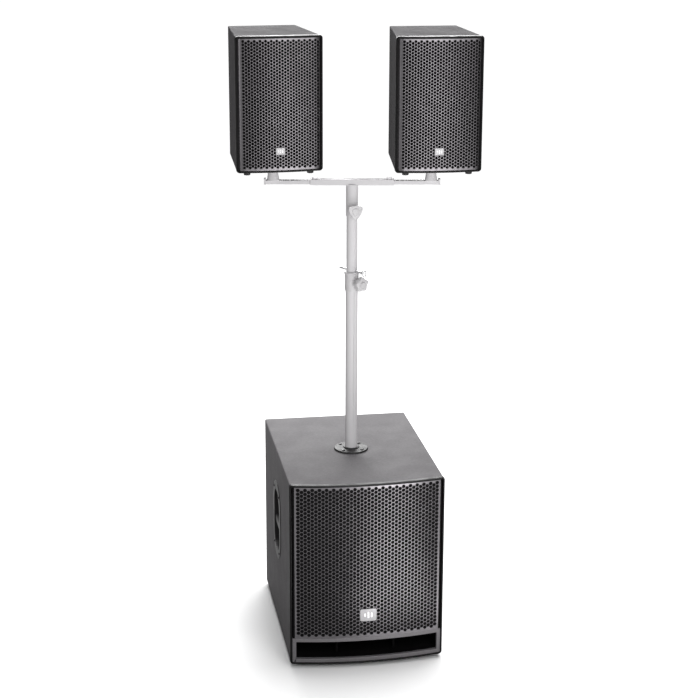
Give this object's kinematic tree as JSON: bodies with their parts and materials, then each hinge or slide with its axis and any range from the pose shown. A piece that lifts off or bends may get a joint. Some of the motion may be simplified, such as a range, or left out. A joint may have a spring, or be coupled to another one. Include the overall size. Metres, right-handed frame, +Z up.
{
  "type": "compact active pa speaker system",
  "caption": "Active PA system: bass-reflex subwoofer with a telescopic pole and sliding crossbar that carries two swivelling two-way satellite speakers.",
  "frame": {"origin": "on the floor under the pole, at the middle of the bounding box's underside", "axes": "+Z up along the pole, -Y towards the front grilles, +X to the right seen from the front"},
  "size_m": [0.6688, 0.616, 1.766],
  "materials": {
    "cabinet_paint": "dark grey structured paint on plywood",
    "inner_board": "black stained plywood",
    "bezel_plastic": "satin moulded black",
    "port_plastic": "fine grained moulded dark grey",
    "grille_steel": "satin powder coat on perforated sheet",
    "grille_foam": "open cell acoustic foam",
    "badge_plate": "brushed plate, blank",
    "handle_plastic": "moulded black with fine grain",
    "black_screw": "black oxide",
    "foot_rubber": "matt",
    "flange_steel": "black powder coat",
    "zinc_steel": "zinc plated",
    "basket_steel": "black",
    "cone_paper": "treated pulp",
    "surround_foam": "half roll",
    "magnet_iron": "ferrite and plated poles",
    "amp_panel": "dark anodised",
    "heatsink_black": "black anodised",
    "transformer_copper": "taped winding",
    "knob_plastic": "moulded black",
    "socket_plastic": "moulded black",
    "pole_paint": "satin pale grey",
    "collar_plastic": "moulded dark grey",
    "grey_knob": "moulded grey",
    "satellite_paint": "dark grey structured paint on plywood",
    "horn_plastic": "satin black",
    "driver_steel": "black",
    "fitting_plastic": "moulded black"
  },
  "bodies": {
    "subwoofer": {"sub_top_panel": "cabinet_paint", "sub_bottom_panel": "cabinet_paint", "sub_left_panel": "cabinet_paint", "sub_right_panel": "cabinet_paint", "sub_rear_panel": "inner_board", "sub_baffle": "inner_board", "sub_port_boards": "inner_board", "sub_bezel": "bezel_plastic", "sub_port_frame": "port_plastic", "sub_grille": "grille_steel", "sub_foam": "grille_foam", "sub_badge": "badge_plate", "left_handle": "handle_plastic", "right_handle": "handle_plastic", "handle_screws": "black_screw", "sub_feet": "foot_rubber", "pole_flange": "flange_steel", "flange_screws": "black_screw", "woofer_basket": "basket_steel", "woofer_surround": "surround_foam", "woofer_magnet": "magnet_iron", "woofer_screws": "black_screw", "amp_plate": "amp_panel", "amp_heatsink": "heatsink_black", "amp_transformer": "transformer_copper", "mains_inlet": "socket_plastic", "signal_sockets": "socket_plastic", "speaker_sockets": "socket_plastic", "amp_screws": "black_screw", "lower_tube": "pole_paint", "collar": "collar_plastic"},
    "woofer_motor": {"woofer_cone": "cone_paper"},
    "sub_level_control": {"sub_level_knob": "knob_plastic"},
    "satellite_level_control": {"satellite_level_knob": "knob_plastic"},
    "crossover_control": {"crossover_knob": "knob_plastic"},
    "power_rocker": {"power_switch": "knob_plastic"},
    "phase_push": {"phase_button": "knob_plastic"},
    "height_clamp": {"height_knob": "knob_plastic"},
    "pole": {"upper_tube": "pole_paint"},
    "pole_pin": {"safety_pin": "zinc_steel"},
    "crossbar": {"crossbar_hub": "pole_paint"},
    "crossbar_clamp": {"crossbar_knob": "grey_knob"},
    "left_slider": {"left_arm": "pole_paint"},
    "right_slider": {"right_arm": "pole_paint"},
    "left_clamp": {"left_thumbscrew": "knob_plastic"},
    "right_clamp": {"right_thumbscrew": "knob_plastic"},
    "left_satellite": {"left_cabinet": "satellite_paint", "left_bezel": "bezel_plastic", "left_grille": "grille_steel", "left_horn": "horn_plastic", "left_driver": "driver_steel", "left_fittings": "fitting_plastic"},
    "right_satellite": {"right_cabinet": "satellite_paint", "right_bezel": "bezel_plastic", "right_grille": "grille_steel", "right_horn": "horn_plastic", "right_driver": "driver_steel", "right_fittings": "fitting_plastic"},
    "left_motor": {"left_cone": "cone_paper"},
    "right_motor": {"right_cone": "cone_paper"}
  },
  "joints": [
    {"name": "woofer_excursion", "type": "slide", "parent": "subwoofer", "child": "woofer_motor", "axis": [0, -1, 0], "range_m": [-0.008, 0.008], "stiffness_N_per_m": 6000, "deforming": ["woofer_surround"]},
    {"name": "sub_level_turn", "type": "hinge", "parent": "subwoofer", "child": "sub_level_control", "pos_m": [-0.11, 0.281, 0.432], "axis": [0, 1, 0], "range_deg": [-150, 150]},
    {"name": "satellite_level_turn", "type": "hinge", "parent": "subwoofer", "child": "satellite_level_control", "pos_m": [-0.07, 0.281, 0.432], "axis": [0, 1, 0], "range_deg": [-150, 150]},
    {"name": "crossover_turn", "type": "hinge", "parent": "subwoofer", "child": "crossover_control", "pos_m": [-0.03, 0.281, 0.432], "axis": [0, 1, 0], "range_deg": [-150, 150]},
    {"name": "power_rock", "type": "hinge", "parent": "subwoofer", "child": "power_rocker", "pos_m": [0.066, 0.281, 0.432], "axis": [1, 0, 0], "range_deg": [0, 16]},
    {"name": "phase_press", "type": "slide", "parent": "subwoofer", "child": "phase_push", "axis": [0, -1, 0], "range_m": [0, 0.003], "stiffness_N_per_m": 300},
    {"name": "height_knob_turn", "type": "hinge", "parent": "subwoofer", "child": "height_clamp", "pos_m": [0, 0, 1.057], "axis": [0.5299, -0.848, 0], "range_deg": [0, 1080]},
    {"name": "pole_height", "type": "slide", "parent": "subwoofer", "child": "pole", "axis": [0, 0, 1], "range_m": [0, 0.35]},
    {"name": "pin_pull", "type": "slide", "parent": "pole", "child": "pole_pin", "axis": [0.5299, -0.848, 0], "range_m": [0, 0.066]},
    {"name": "crossbar_swivel", "type": "hinge", "parent": "pole", "child": "crossbar", "pos_m": [0, 0, 1.3], "axis": [0, 0, 1], "continuous": true},
    {"name": "crossbar_knob_turn", "type": "hinge", "parent": "crossbar", "child": "crossbar_clamp", "pos_m": [0, 0, 1.268], "axis": [0.1219, -0.9925, 0], "range_deg": [0, 1080]},
    {"name": "left_arm_slide", "type": "slide", "parent": "crossbar", "child": "left_slider", "axis": [-0.9877, 0.1564, 0], "range_m": [-0.03, 0.03]},
    {"name": "left_thumbscrew_turn", "type": "hinge", "parent": "crossbar", "child": "left_clamp", "pos_m": [-0.10371, 0.01643, 1.36], "axis": [0, 0, 1], "range_deg": [0, 720]},
    {"name": "left_satellite_swivel", "type": "hinge", "parent": "left_slider", "child": "left_satellite", "pos_m": [-0.21927, 0.03473, 1.42], "axis": [0, 0, 1], "continuous": true},
    {"name": "left_cone_excursion", "type": "slide", "parent": "left_satellite", "child": "left_motor", "axis": [0.0436, -0.999, 0], "range_m": [-0.004, 0.004], "stiffness_N_per_m": 3000},
    {"name": "right_arm_slide", "type": "slide", "parent": "crossbar", "child": "right_slider", "axis": [0.9877, -0.1564, 0], "range_m": [-0.03, 0.03]},
    {"name": "right_thumbscrew_turn", "type": "hinge", "parent": "crossbar", "child": "right_clamp", "pos_m": [0.10371, -0.01643, 1.36], "axis": [0, 0, 1], "range_deg": [0, 720]},
    {"name": "right_satellite_swivel", "type": "hinge", "parent": "right_slider", "child": "right_satellite", "pos_m": [0.21927, -0.03473, 1.42], "axis": [0, 0, 1], "continuous": true},
    {"name": "right_cone_excursion", "type": "slide", "parent": "right_satellite", "child": "right_motor", "axis": [-0.0436, -0.999, 0], "range_m": [-0.004, 0.004], "stiffness_N_per_m": 3000}
  ]
}
